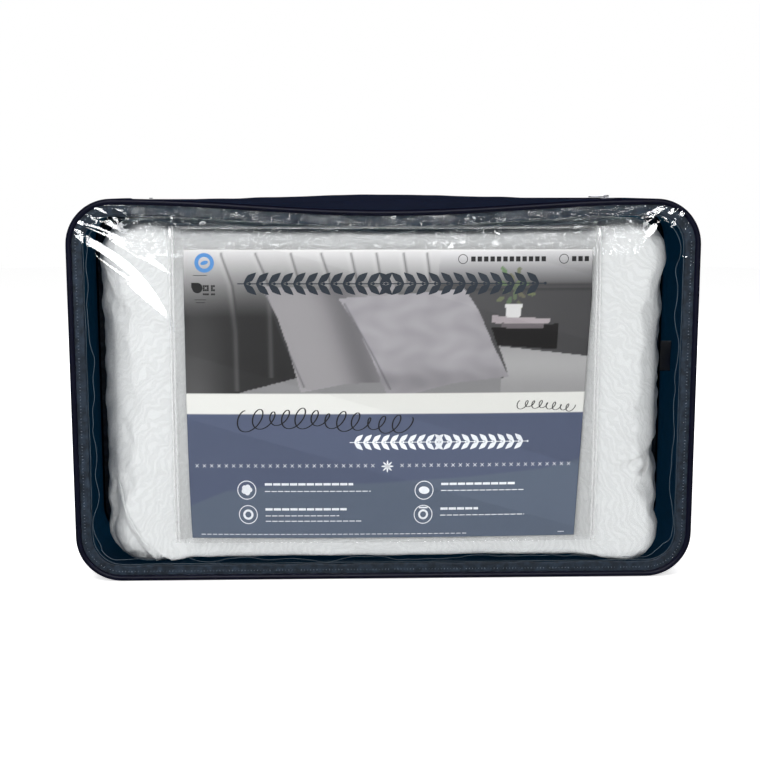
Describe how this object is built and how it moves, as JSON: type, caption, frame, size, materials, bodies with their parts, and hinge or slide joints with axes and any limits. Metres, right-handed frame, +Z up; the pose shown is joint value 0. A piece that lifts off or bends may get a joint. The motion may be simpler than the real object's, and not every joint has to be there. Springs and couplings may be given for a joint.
{
  "type": "bed pillow in zippered bag",
  "caption": "Soft rectangular down pillow packed in an upright zippered gift bag with a clear bulging window, corded edges and a pocket for an insert card.",
  "frame": {"origin": "middle of the footprint, on the surface that the bag stands on", "axes": "+Z up, -Y out of the clear window (the front), +X to the right seen from the front"},
  "size_m": [0.66, 0.194, 0.4086],
  "materials": {
    "down": "loose white down clusters",
    "cotton": "white cotton with a tone-on-tone jacquard weave",
    "clear_vinyl": "clear glossy soft vinyl film",
    "printed_card": "satin printed paper card",
    "non_woven": "navy point-bonded non-woven",
    "seam_tape": "blue-grey bound seam allowance",
    "piping_vinyl": "glossy near-black navy vinyl",
    "zip_textile": "navy woven zip tape",
    "zip_nylon": "navy nylon coil",
    "zip_metal": "dark gunmetal lacquer"
  },
  "bodies": {
    "bag": {"down_fill": "down", "ticking_front": "cotton", "ticking_back": "cotton", "pillow_cord": "cotton", "care_tag": "cotton", "front_window": "clear_vinyl", "card_pocket": "clear_vinyl", "back_panel": "non_woven", "gusset_band": "non_woven", "front_zip_strip": "non_woven", "rear_zip_strip": "non_woven", "front_seam_tape": "seam_tape", "back_seam_tape": "seam_tape", "front_piping": "piping_vinyl", "back_piping": "piping_vinyl", "zip_tape_front": "zip_textile", "zip_tape_rear": "zip_textile", "zip_coil_front": "zip_nylon", "zip_coil_rear": "zip_nylon", "zip_stop_closed": "zip_metal", "zip_stop_open": "zip_metal"},
    "card": {"insert_card": "printed_card"},
    "slider": {"zip_slider": "zip_metal"},
    "pull": {"zip_pull": "zip_metal"}
  },
  "joints": [
    {"name": "card_slide", "type": "slide", "parent": "bag", "child": "card", "axis": [0, 0, 1], "range_m": [0, 0.3]},
    {"name": "zip_slide", "type": "slide", "parent": "bag", "child": "slider", "axis": [-1, 0, 0], "range_m": [0, 0.486]},
    {"name": "pull_swing", "type": "hinge", "parent": "slider", "child": "pull", "pos_m": [0.2437, 0, 0.40635], "axis": [0, 1, 0], "range_deg": [0, 170]}
  ]
}
